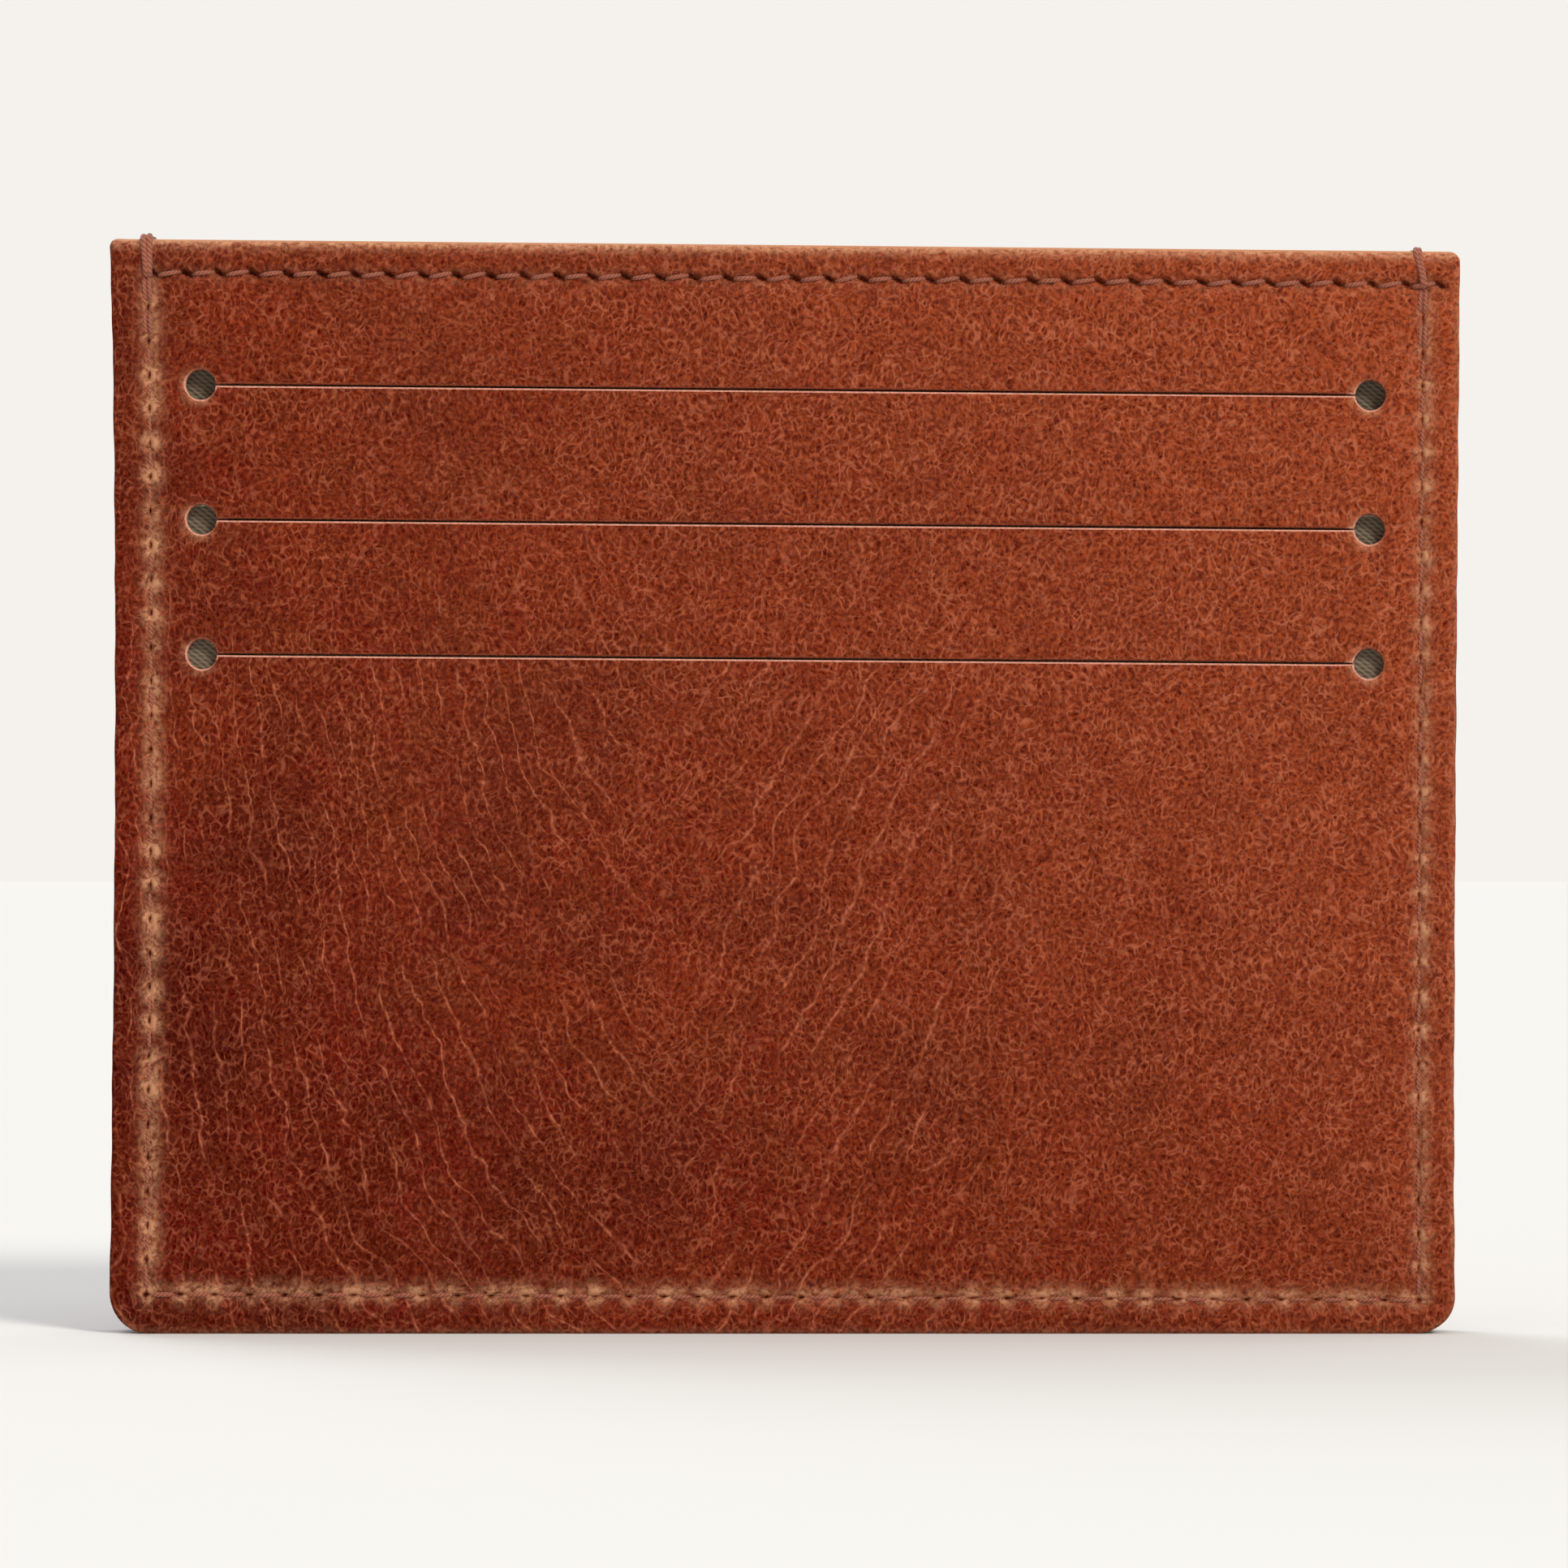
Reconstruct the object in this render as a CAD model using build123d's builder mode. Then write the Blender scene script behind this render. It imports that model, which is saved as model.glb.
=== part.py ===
"""A flat sewn card holder: two leather panels with three card slits each, cotton linings and a main pocket.

Millimetres. X runs along the width and Z up to the mouth of the main pocket. The front panel faces -Y.
The origin is the middle of the bottom edge, halfway through the thickness.
"""

import os

from build123d import *

# Driving dimensions
WIDTH = 100.0  # side edge to side edge
HEIGHT = 81.0  # bottom edge to mouth
BOTTOM_CORNER = 3.0  # radius of the two bottom corners
TOP_CORNER = 0.8  # radius of the two corners beside the mouth

LEATHER = 1.1  # thickness of a leather panel
LINING = 0.25  # thickness of the cotton lining
POCKET_GAP = 1.6  # free depth of the main pocket, and the thickness of the seam fillers
LINING_SETBACK = 0.5  # how far a lining's top edge stays below the mouth

CARD_WIDTH = 85.6  # ID-1 bank card
FIRST_SLIT_DROP = 10.8  # top slit below the mouth
SLIT_PITCH = 10.0
SLIT_GAP = 0.3
RELIEF_RADIUS = 1.1  # punched hole that ends a slit
SLOT_DEPTH = 48.0  # from a slit down to the bottom of its slot
BOND_WIDTH = 3.6  # glued height at the top of a lining
BOND_CLEARANCE = 1.0  # from a slit up to the glue above it

THREAD = 0.35
GROOVE_WIDTH = 0.5
GROOVE_DEPTH = 0.4  # the thread lies just below the leather's face
SEAM_INSET = 2.7  # perimeter seam from the side and bottom edges
MOUTH_SEAM_DROP = 2.5  # mouth seam below the mouth
STITCH = 2.5  # nominal stitch length
FILLER_WIDTH = 3.7

# Sizes that follow from them
SLIT_LENGTH = CARD_WIDTH + 1.3  # between the centres of the relief holes
SLIT_HEIGHTS = [HEIGHT - FIRST_SLIT_DROP - SLIT_PITCH * i for i in range(3)]
NEEDLE_HOLE_RADIUS = 0.72 * THREAD + 0.01  # just clears the corners of the square thread
SEAM_X = WIDTH / 2 - SEAM_INSET
MOUTH_SEAM_Z = HEIGHT - MOUTH_SEAM_DROP
MOUTH_SEAM_X = SEAM_X - STITCH / 2

# Distances from the middle plane to the inner face of each layer
UPPER_LINING_AT = POCKET_GAP / 2
MIDDLE_LINING_AT = UPPER_LINING_AT + LINING
LOWER_LINING_AT = MIDDLE_LINING_AT + LINING
PANEL_AT = LOWER_LINING_AT + LINING
OUTER_FACE_AT = PANEL_AT + LEATHER
THREAD_AT = OUTER_FACE_AT - GROOVE_DEPTH  # floor of the stitch groove

SIDES = {"front": 1, "back": -1}  # how Plane.XZ, whose normal is -Y, is offset


def stitch_places(start, end):
    """Needle holes from start to end, both included, evenly spaced near the nominal stitch."""
    count = round(abs(end - start) / STITCH)
    return [start + (end - start) * i / count for i in range(count + 1)]


SIDE_HOLES_Z = stitch_places(SEAM_INSET, MOUTH_SEAM_Z)
BOTTOM_HOLES_X = stitch_places(-SEAM_X, SEAM_X)
MOUTH_HOLES_X = stitch_places(-MOUTH_SEAM_X, MOUTH_SEAM_X)
PERIMETER_HOLES = (
    [(-SEAM_X, z) for z in SIDE_HOLES_Z]
    + [(SEAM_X, z) for z in SIDE_HOLES_Z]
    + [(x, SEAM_INSET) for x in BOTTOM_HOLES_X[1:-1]]
)
MOUTH_HOLES = [(x, MOUTH_SEAM_Z) for x in MOUTH_HOLES_X]


def layer_plane(side, distance):
    """The XZ plane at that distance from the middle plane, on the front or the back half."""
    return Plane.XZ.offset(SIDES[side] * distance)


def outline(low, high, corner=BOTTOM_CORNER, top_corner=0.0):
    """A rectangle over the full width from low to high, with its corners rounded."""
    with Locations((0, (low + high) / 2)):
        Rectangle(WIDTH, high - low)
    if corner:
        fillet(vertices().group_by(Axis.Y)[0], corner)
    if top_corner:
        fillet(vertices().group_by(Axis.Y)[-1], top_corner)


def needle_holes(low, high, mouth_too=False):
    """Punches the needle holes that fall between two heights in the sketch."""
    margin = NEEDLE_HOLE_RADIUS + 0.1
    holes = PERIMETER_HOLES + (MOUTH_HOLES if mouth_too else [])
    inside = [(x, z) for x, z in holes if low + margin < z < high - margin]
    if inside:
        with Locations(*inside):
            Circle(NEEDLE_HOLE_RADIUS, mode=Mode.SUBTRACT)


def leather_panel(side):
    """One leather panel: three slits that end in punched holes, stitch grooves and needle holes."""
    with BuildPart() as panel:
        with BuildSketch(layer_plane(side, PANEL_AT)):
            outline(0, HEIGHT, top_corner=TOP_CORNER)
            with Locations(*[(0, z) for z in SLIT_HEIGHTS]):
                Rectangle(SLIT_LENGTH, SLIT_GAP, mode=Mode.SUBTRACT)
                with GridLocations(SLIT_LENGTH, 0, 2, 1):
                    Circle(RELIEF_RADIUS, mode=Mode.SUBTRACT)
            needle_holes(0, HEIGHT, mouth_too=True)
        extrude(amount=SIDES[side] * LEATHER)
        with BuildSketch(layer_plane(side, THREAD_AT)):
            for x in (-SEAM_X, SEAM_X):
                low = SEAM_INSET - GROOVE_WIDTH / 2
                with Locations((x, (low + HEIGHT) / 2)):
                    Rectangle(GROOVE_WIDTH, HEIGHT - low)
            with Locations((0, SEAM_INSET)):
                Rectangle(2 * SEAM_X, GROOVE_WIDTH)
            with Locations((0, MOUTH_SEAM_Z)):
                Rectangle(2 * MOUTH_SEAM_X + GROOVE_WIDTH, GROOVE_WIDTH)
        extrude(amount=SIDES[side] * GROOVE_DEPTH, mode=Mode.SUBTRACT)
    return panel


def flat_layer(side, distance, thickness, low, high, corner=0.0, mouth_too=False):
    """A flat sheet or strip over the full width, with the needle holes that reach it."""
    with BuildPart() as sheet:
        with BuildSketch(layer_plane(side, distance)):
            outline(low, high, corner=corner)
            needle_holes(low, high, mouth_too)
        extrude(amount=SIDES[side] * thickness)
    return sheet


def side_filler(x_sign):
    """The strip between the two halves along one side, with its outer bottom corner rounded."""
    with BuildPart() as strip:
        with BuildSketch(Plane.XZ.offset(-POCKET_GAP / 2)):
            low, high = 0, HEIGHT - LINING_SETBACK
            with Locations((x_sign * (WIDTH - FILLER_WIDTH) / 2, (low + high) / 2)):
                Rectangle(FILLER_WIDTH, high - low)
            outer = Axis.X if x_sign > 0 else Axis((0, 0, 0), (-1, 0, 0))
            fillet(vertices().group_by(Axis.Y)[0].sort_by(outer)[-1], BOTTOM_CORNER)
            needle_holes(low, high)
        extrude(amount=POCKET_GAP)
    return strip


def bottom_filler():
    """The strip between the two halves along the bottom."""
    length = WIDTH - 2 * FILLER_WIDTH
    with BuildPart() as strip:
        with BuildSketch(Plane.XZ.offset(-POCKET_GAP / 2)):
            with Locations((0, FILLER_WIDTH / 2)):
                Rectangle(length, FILLER_WIDTH)
            with Locations(*[(x, SEAM_INSET) for x in BOTTOM_HOLES_X if abs(x) < length / 2]):
                Circle(NEEDLE_HOLE_RADIUS, mode=Mode.SUBTRACT)
        extrude(amount=POCKET_GAP)
    return strip


def sewn_run(plane, places, outer, inner, end_legs=True):
    """One straight run of thread: a bar in the groove with a leg down every needle hole.

    The plane's X runs along the seam and its Y towards the outside. The bar's floor is at outer,
    and the legs reach in to inner, where they meet the other thread.
    """
    with BuildSketch(plane) as profile:
        first, last = places[0], places[-1]
        step = 1 if outer > inner else -1
        with Locations(((first + last) / 2, outer + step * THREAD / 2)):
            Rectangle(abs(last - first) + THREAD, THREAD)
        legs = places if end_legs else places[1:-1]
        with Locations(*[(place, (outer + inner) / 2) for place in legs]):
            Rectangle(THREAD, abs(outer - inner))
    extrude(profile.sketch, amount=THREAD / 2, both=True)


def seam_planes():
    """The planes that cut along the two side seams, the bottom seam and the mouth seam."""
    along_side = [
        Plane(origin=(x, 0, 0), x_dir=(0, 0, 1), z_dir=(1, 0, 0)) for x in (-SEAM_X, SEAM_X)
    ]
    along_bottom = Plane(origin=(0, 0, SEAM_INSET), x_dir=(1, 0, 0), z_dir=(0, 0, -1))
    along_mouth = Plane(origin=(0, 0, MOUTH_SEAM_Z), x_dir=(1, 0, 0), z_dir=(0, 0, -1))
    return along_side, along_bottom, along_mouth


def perimeter_thread(side):
    """The thread that closes both sides and the bottom, seen on one half."""
    along_side, along_bottom, _ = seam_planes()
    sign = SIDES[side]
    with BuildPart() as thread:
        for plane in along_side:
            sewn_run(plane, SIDE_HOLES_Z, sign * THREAD_AT, 0)
        sewn_run(along_bottom, BOTTOM_HOLES_X, sign * THREAD_AT, 0, end_legs=False)
        if side == "front":
            for plane in along_side:
                mouth_wrap(plane)
    return thread


def mouth_wrap(plane):
    """The last stitch of a side seam, taken over the edge of the mouth and down the other face."""
    reach = THREAD_AT + THREAD
    tail = MOUTH_SEAM_Z + THREAD / 2  # touches the end of the back thread
    with BuildSketch(plane) as profile:
        with BuildLine():
            Polyline(
                (MOUTH_SEAM_Z, THREAD_AT),
                (HEIGHT, THREAD_AT),
                (HEIGHT, -THREAD_AT),
                (tail, -THREAD_AT),
                (tail, -reach),
                (HEIGHT + THREAD, -reach),
                (HEIGHT + THREAD, reach),
                (MOUTH_SEAM_Z, reach),
                close=True,
            )
        make_face()
    extrude(profile.sketch, amount=THREAD / 2, both=True)


def mouth_thread(side, outer, inner):
    """One of the two threads of a mouth seam, with its bar at outer and its legs ending at inner."""
    _, _, along_mouth = seam_planes()
    with BuildPart() as thread:
        sewn_run(along_mouth, MOUTH_HOLES_X, SIDES[side] * outer, SIDES[side] * inner)
    return thread


def write(name, built):
    """Labels a finished piece and writes it as its own STEP file."""
    built.part.label = name
    export_step(built.part, f"parts/{name}.step")


os.makedirs("parts", exist_ok=True)

lining_top = HEIGHT - LINING_SETBACK
mouth_lock_at = (THREAD_AT + UPPER_LINING_AT) / 2  # where the two mouth threads lock together

for side in SIDES:
    write(f"{side}_panel", leather_panel(side))

    lower_top = SLIT_HEIGHTS[2] + BOND_CLEARANCE + BOND_WIDTH
    lower = flat_layer(side, LOWER_LINING_AT, LINING, 0, lower_top, BOTTOM_CORNER)
    write(f"{side}_lower_slot_lining", lower)

    middle_top = SLIT_HEIGHTS[1] + BOND_CLEARANCE + BOND_WIDTH
    middle_low = SLIT_HEIGHTS[1] - SLOT_DEPTH - BOND_WIDTH / 2
    middle = flat_layer(side, MIDDLE_LINING_AT, LINING, middle_low, middle_top)
    write(f"{side}_middle_slot_lining", middle)

    upper = flat_layer(side, UPPER_LINING_AT, LINING, 0, lining_top, BOTTOM_CORNER, True)
    write(f"{side}_upper_slot_lining", upper)

    tape_low = middle_top - BOND_WIDTH
    tape = flat_layer(side, LOWER_LINING_AT, LINING, tape_low, middle_top)
    write(f"{side}_middle_lining_tape", tape)

    stay_low = SLIT_HEIGHTS[0] + BOND_CLEARANCE + BOND_WIDTH
    stay = flat_layer(side, MIDDLE_LINING_AT, 2 * LINING, stay_low, lining_top, 0.0, True)
    write(f"{side}_mouth_stay_tape", stay)

    needle = mouth_thread(side, THREAD_AT, mouth_lock_at)
    write(f"{side}_mouth_needle_thread", needle)
    bobbin = mouth_thread(side, UPPER_LINING_AT, mouth_lock_at)
    write(f"{side}_mouth_bobbin_thread", bobbin)

write("left_seam_filler", side_filler(-1))
write("right_seam_filler", side_filler(1))
write("bottom_seam_filler", bottom_filler())
write("perimeter_needle_thread", perimeter_thread("front"))
write("perimeter_bobbin_thread", perimeter_thread("back"))
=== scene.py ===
# %% [markdown]
# # A stitched card holder in waxed leather
#
# The holder is a thin sandwich: two leather panels with three card slits each, cotton linings
# behind the slits, filler strips along three sides and a row of stitches that closes it. This
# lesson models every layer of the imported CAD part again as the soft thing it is.

import math

import bpy
import numpy as np
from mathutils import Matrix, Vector


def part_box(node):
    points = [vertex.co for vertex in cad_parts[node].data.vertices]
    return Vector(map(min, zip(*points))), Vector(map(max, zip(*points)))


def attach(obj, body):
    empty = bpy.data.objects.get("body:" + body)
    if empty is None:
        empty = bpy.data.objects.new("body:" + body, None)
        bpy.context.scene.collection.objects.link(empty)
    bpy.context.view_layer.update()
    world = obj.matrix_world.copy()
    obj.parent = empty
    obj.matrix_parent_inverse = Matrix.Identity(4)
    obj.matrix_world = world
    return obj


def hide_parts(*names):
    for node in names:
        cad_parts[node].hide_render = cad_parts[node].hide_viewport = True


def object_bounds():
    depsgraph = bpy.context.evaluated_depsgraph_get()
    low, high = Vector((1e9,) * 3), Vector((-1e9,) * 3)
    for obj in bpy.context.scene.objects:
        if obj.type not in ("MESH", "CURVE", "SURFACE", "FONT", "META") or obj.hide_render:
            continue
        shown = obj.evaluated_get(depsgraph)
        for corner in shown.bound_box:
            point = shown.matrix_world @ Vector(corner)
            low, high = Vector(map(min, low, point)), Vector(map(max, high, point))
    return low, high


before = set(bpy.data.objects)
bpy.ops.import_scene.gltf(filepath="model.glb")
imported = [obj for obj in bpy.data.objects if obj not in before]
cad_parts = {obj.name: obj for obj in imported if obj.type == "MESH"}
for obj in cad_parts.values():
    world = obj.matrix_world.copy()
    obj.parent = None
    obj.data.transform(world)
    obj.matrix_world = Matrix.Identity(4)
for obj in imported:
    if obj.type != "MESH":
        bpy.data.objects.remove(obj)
cad_box = [list(corner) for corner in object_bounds()]
print("CAD box in metres:", cad_box)

# %% [markdown]
# ## Sizes
#
# Everything is worked out in millimetres and written to a mesh in metres. X runs along the
# width, Z up to the mouth, and the front panel faces -Y. Each layer is placed by how far its
# inner face lies from the middle of the sandwich.

# %% Sizes of the holder
MM = 0.001
WIDTH, HEIGHT = 100.0, 81.0
LEATHER = 1.1
LINING = 0.25
UPPER_LINING_AT = 0.8
MIDDLE_LINING_AT = UPPER_LINING_AT + LINING
LOWER_LINING_AT = MIDDLE_LINING_AT + LINING
PANEL_AT = LOWER_LINING_AT + LINING
OUTER_AT = PANEL_AT + LEATHER
BOTTOM_CORNER, TOP_CORNER = 3.0, 0.8
SEAM_INSET = 2.7  # stitches from the side and bottom edges
SEAM_X = WIDTH / 2 - SEAM_INSET
MOUTH_SEAM_Z = HEIGHT - 2.5
SLIT_HEIGHTS = (50.2, 60.2, 70.2)
SLIT_END = 43.45  # the punched hole that ends a slit, from the middle
HOLE_RADIUS = 1.12
SLIT_OPEN = 0.14
panel_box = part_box("front_panel")
print("front panel in the CAD:", [round(1000 * v, 2) for corner in panel_box for v in corner])

# %% [markdown]
# ## How the real one differs from a drawing
#
# A hand-cut holder is a little out of square and never flat. Every piece is passed through the
# same two functions, so that the layers keep lying on each other. `swell` is how much further
# apart the two halves stand than drawn: nothing at the seams, most in the middle and at the
# free mouth. `hand_cut` moves a point to where the knife really went: the left side
# is a little taller than the right one, and the sides aren't quite straight: the knife wandered
# by some hundredths of a millimetre, and it left the top left corner sharp.

# %% Swelling and hand-cut outline
def smoothstep(x, low, high):
    t = np.clip((x - low) / (high - low), 0.0, 1.0)
    return t * t * (3 - 2 * t)


def hump(distance, width, power=2):
    """1 where the distance is 0, and fading away past the width."""
    return np.exp(-((distance / width) ** power))


def swell(x, z):
    """How far a half stands out beyond the drawing, in millimetres."""
    across = 1 - np.clip(np.abs(x) / SEAM_X, 0, 1) ** 4
    up = smoothstep(z, SEAM_INSET, 22.0) * (1 - 0.35 * smoothstep(z, 60.0, HEIGHT))
    waves = 0.07 * np.sin(x / 7.5 + z / 11 + 1.3) + 0.05 * np.sin(z / 6.1 - x / 13 + 0.4)
    return across * up * (0.42 + waves)


def hand_cut(points):
    """Moves points, in millimetres, from the drawn outline to the one that was cut."""
    x, z = points[:, 0], points[:, 2]
    u, v = x / (WIDTH / 2), np.clip(z / HEIGHT, 0, 1.1)
    out = points.copy()
    out[:, 2] += -(0.30 + 0.18 * v) * u * smoothstep(z, 0.0, 4.0)
    right = -0.18 + 0.5 * v**1.6 + 0.18 * np.clip(1 - v, 0, 1) ** 12
    left = 0.22 * np.sin(np.pi * np.clip((v - 0.2) / 0.8, 0, 1)) - 0.18 * v**12
    left = left - 0.3 * np.clip(1 - v, 0, 1) ** 10
    ragged = 0.015 * np.sin(z / 0.6 + 2 * np.sin(z / 3))
    ragged += 0.022 * np.sin(z / 1.3 + 3 * np.sin(z / 9))  # the knife wandered
    out[:, 0] += np.where(u > 0, right, left) * u**2 + ragged * np.abs(u) ** 20
    corner = hump(x + WIDTH / 2, 0.6) * hump(z - HEIGHT, 0.6)  # left unrounded
    out[:, 0] -= 0.11 * corner
    out[:, 2] += 0.11 * corner
    return out


print("swell in the middle:", swell(0.0, 40.0).round(2), "mm")

# %% [markdown]
# ## Small helpers
#
# Reading and writing all the points of a mesh at once lets a rule move them.

# %% Helpers for meshes
def leave_edit_mode():
    if bpy.context.object and bpy.context.object.mode != "OBJECT":
        bpy.ops.object.mode_set(mode="OBJECT")


def deselect():
    leave_edit_mode()
    bpy.ops.object.select_all(action="DESELECT")


def only(piece):
    """Makes a piece the only selected object, ready for operators."""
    deselect()
    piece.select_set(True)
    bpy.context.view_layer.objects.active = piece


def fetch(items, name, width=1, kind=float):
    """One value, or a row of width values, from each point, edge or face."""
    values = np.empty(width * len(items), dtype=kind)
    items.foreach_get(name, values)
    return values.reshape(-1, width) if width > 1 else values


def read_points(piece):
    return fetch(piece.data.vertices, "co", 3) / MM


def write_points(piece, points):
    piece.data.vertices.foreach_set("co", (points * MM).ravel())
    piece.data.update()


def face_facts(piece):
    """The centre in millimetres and the normal of every face."""
    faces = piece.data.polygons
    return fetch(faces, "center", 3) / MM, fetch(faces, "normal", 3)


def select(piece, kind, chosen):
    """Selects just the chosen faces or edges, and leaves the piece in edit mode."""
    only(piece)
    bpy.ops.object.mode_set(mode="EDIT")
    bpy.ops.mesh.select_mode(type=kind)
    bpy.ops.mesh.select_all(action="DESELECT")
    bpy.ops.object.mode_set(mode="OBJECT")
    items = piece.data.polygons if kind == "FACE" else piece.data.edges
    items.foreach_set("select", chosen)
    bpy.ops.object.mode_set(mode="EDIT")


def triangles(piece):
    return sum(len(face.vertices) - 2 for face in piece.data.polygons)


def upright_grid(name, across, up, outer):
    """A flat upright grid, and its points with lines at the given places and y at -outer."""
    deselect()
    bpy.ops.mesh.primitive_grid_add(
        x_subdivisions=len(across) - 1, y_subdivisions=len(up) - 1, size=1,
        rotation=(math.pi / 2, 0, 0),
    )
    piece = bpy.context.object
    piece.name = name
    bpy.ops.object.transform_apply()
    unit = read_points(piece) * MM + 0.5
    column = np.rint(unit[:, 0] * (len(across) - 1)).astype(int)
    line = np.rint(unit[:, 2] * (len(up) - 1)).astype(int)
    depth = np.full(len(unit), -outer)
    return piece, np.column_stack([np.array(across)[column], depth, np.array(up)[line]])


def thicken(piece, thickness, rim=0):
    """Gives a sheet its thickness, inwards; its rim takes the material slot rim further on."""
    solid = piece.modifiers.new("thickness", "SOLIDIFY")
    solid.thickness, solid.offset = thickness * MM, -1
    solid.material_offset_rim = rim
    bpy.ops.object.modifier_apply(modifier=solid.name)


# %% [markdown]
# ## Where the lines of a panel go
#
# A panel starts as a grid whose lines are slid to where the shape needs them: close together at
# the rolled edge, at the seams and round the punched holes, and two thirds of a millimetre
# apart elsewhere. A line on either side of each slit lets its faces be deleted.

# %% Lines of the panel's grid
EDGE_LINES = [0, 0.35, 0.6, 0.95, 1.35]
SEAM_BAND = [1.8, 2.4, 3.0, 3.6]  # distances from an edge
RINGS = [0.62, 0.95, 1.3, 1.8, 2.5]  # half widths of the squares round a punched hole
HOLE_RING = 0.95


def spaced(start, stop, step=0.65):
    count = max(1, round((stop - start) / step))
    return [start + (stop - start) * i / count for i in range(1, count)]


def around(middle, first):
    """Lines on both sides of a hole's or a slit's middle."""
    half = [first, 0.35, *RINGS] if first else [0.35, *RINGS]
    below = [middle - offset for offset in reversed(half)]
    above = [middle + offset for offset in half]
    return below + ([] if first else [middle]) + above


hole_from_edge = WIDTH / 2 - SLIT_END
half_lines = EDGE_LINES + SEAM_BAND + around(hole_from_edge, 0)
half_lines += spaced(half_lines[-1], WIDTH / 2)
x_lines = [-WIDTH / 2 + line for line in half_lines] + [0.0]
x_lines += [WIDTH / 2 - line for line in reversed(half_lines)]

z_lines = EDGE_LINES + SEAM_BAND
for height in SLIT_HEIGHTS:
    near = around(height, SLIT_OPEN / 2)
    z_lines += spaced(z_lines[-1], near[0]) + near
mouth_band = [HEIGHT - 2.5 + offset for offset in (-0.9, -0.3, 0.3, 0.9)]
z_lines += spaced(z_lines[-1], mouth_band[0]) + mouth_band
z_lines += [HEIGHT - line for line in (1.3, 0.95, 0.6, 0.35, 0)]
print("grid lines:", len(x_lines), "across,", len(z_lines), "up")

# %% [markdown]
# ## Rounding corners and opening holes by moving points
#
# A corner is rounded without a cut: each square ring of grid points near it becomes a round ring
# of the same size. The same trick turns the square gap at the end of a slit into a punched
# hole, and the faces round it stay four-sided.

# %% Round rings from square ones
def round_ring(u, v):
    """The point of the unit circle for a point on the edge of the unit square."""
    return u * np.sqrt(1 - v * v / 2), v * np.sqrt(1 - u * u / 2)


def round_corners(points, high=HEIGHT, top=TOP_CORNER):
    """Rounds the bottom corners, and the top ones by the radius top."""
    out = points.copy()
    half, x, z = WIDTH / 2, points[:, 0], points[:, 2]
    for radius, edge, up in ((BOTTOM_CORNER, 0.0, -1), (top, high, 1)):
        if radius == 0:
            continue
        a = (np.abs(x) - (half - radius)) / radius
        b = up * (z - edge) / radius + 1
        near = (a > 0) & (b > 0)
        m = np.maximum(a[near], b[near])
        u, v = round_ring(a[near] / m, b[near] / m)
        out[near, 0] = np.sign(x[near]) * (half - radius + radius * m * u)
        out[near, 2] = edge - up * radius + up * radius * m * v
    return out


def open_hole(points, x0, z0):
    out = points.copy()
    dx, dz = points[:, 0] - x0, points[:, 2] - z0
    m = np.maximum(np.abs(dx), np.abs(dz))
    near = (m > 0.5) & (m < RINGS[-1])
    u, v = round_ring(dx[near] / m[near], dz[near] / m[near])
    share = (m[near] - HOLE_RING) / (RINGS[-1] - HOLE_RING)
    radius = HOLE_RADIUS + share * (RINGS[-1] - HOLE_RADIUS)
    out[near, 0] = x0 + (1 - share) * radius * u + share * dx[near]
    out[near, 2] = z0 + (1 - share) * radius * v + share * dz[near]
    return out


# %% [markdown]
# ## The leather panel
#
# First the flat shape: the grid, without its slits and holes, its corners rounded. Solidify
# gives it the thickness of the leather, and its cut edges the second material slot. The outer
# edge is bevelled wider than the slits, because it was rubbed down after sewing, while a slit
# keeps the crisp edge of the knife.

# %% Flat panel with slits and punched holes
front_panel, flat = upright_grid("front_panel_leather", x_lines, z_lines, OUTER_AT)
write_points(front_panel, flat)

centre, _ = face_facts(front_panel)
gone = np.zeros(len(centre), dtype=bool)
for height in SLIT_HEIGHTS:
    gone |= (np.abs(centre[:, 2] - height) < SLIT_OPEN / 2) & (np.abs(centre[:, 0]) < SLIT_END)
    beside = np.abs(np.abs(centre[:, 0]) - SLIT_END) < HOLE_RING
    gone |= beside & (np.abs(centre[:, 2] - height) < HOLE_RING)
select(front_panel, "FACE", gone)
bpy.ops.mesh.delete(type="FACE")
leave_edit_mode()

shaped = read_points(front_panel)
for height in SLIT_HEIGHTS:
    for x0 in (-SLIT_END, SLIT_END):
        shaped = open_hole(shaped, x0, height)
write_points(front_panel, round_corners(shaped))
_, normal = face_facts(front_panel)
print("flat panel:", len(front_panel.data.polygons), "faces, facing", normal[0].round(2))

# %% Thickness and edges of the panel
for slot_name in ("grain", "cut_edge"):
    front_panel.data.materials.append(bpy.data.materials.new(slot_name))
thicken(front_panel, LEATHER, rim=1)


def edges_of_the_grain_side(panel, at_the_cuts):
    """Selects the grain side's border: round the slits and holes, or round the outline."""
    _, normal = face_facts(panel)
    select(panel, "FACE", normal[:, 1] < -0.9)
    bpy.ops.mesh.region_to_loop()
    bpy.ops.object.mode_set(mode="OBJECT")
    loop = fetch(panel.data.edges, "select", kind=bool)
    middle = read_points(panel)[fetch(panel.data.edges, "vertices", 2, int)].mean(axis=1)
    inside = (np.abs(middle[:, 0]) < SLIT_END + 2) & (np.abs(middle[:, 2] - SLIT_HEIGHTS[1]) < 12)
    wanted = loop & (inside == at_the_cuts)
    select(panel, "EDGE", wanted)
    return int(wanted.sum())


for at_the_cuts, width, segments, slot_index in ((False, 0.3, 3, 0), (True, 0.13, 3, 1)):
    count = edges_of_the_grain_side(front_panel, at_the_cuts)
    bpy.ops.mesh.bevel(
        offset=width * MM, segments=segments, profile=0.5, affect="EDGES", material=slot_index
    )
    leave_edit_mode()
    print("bevelled", count, "edges by", width, "mm")

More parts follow.
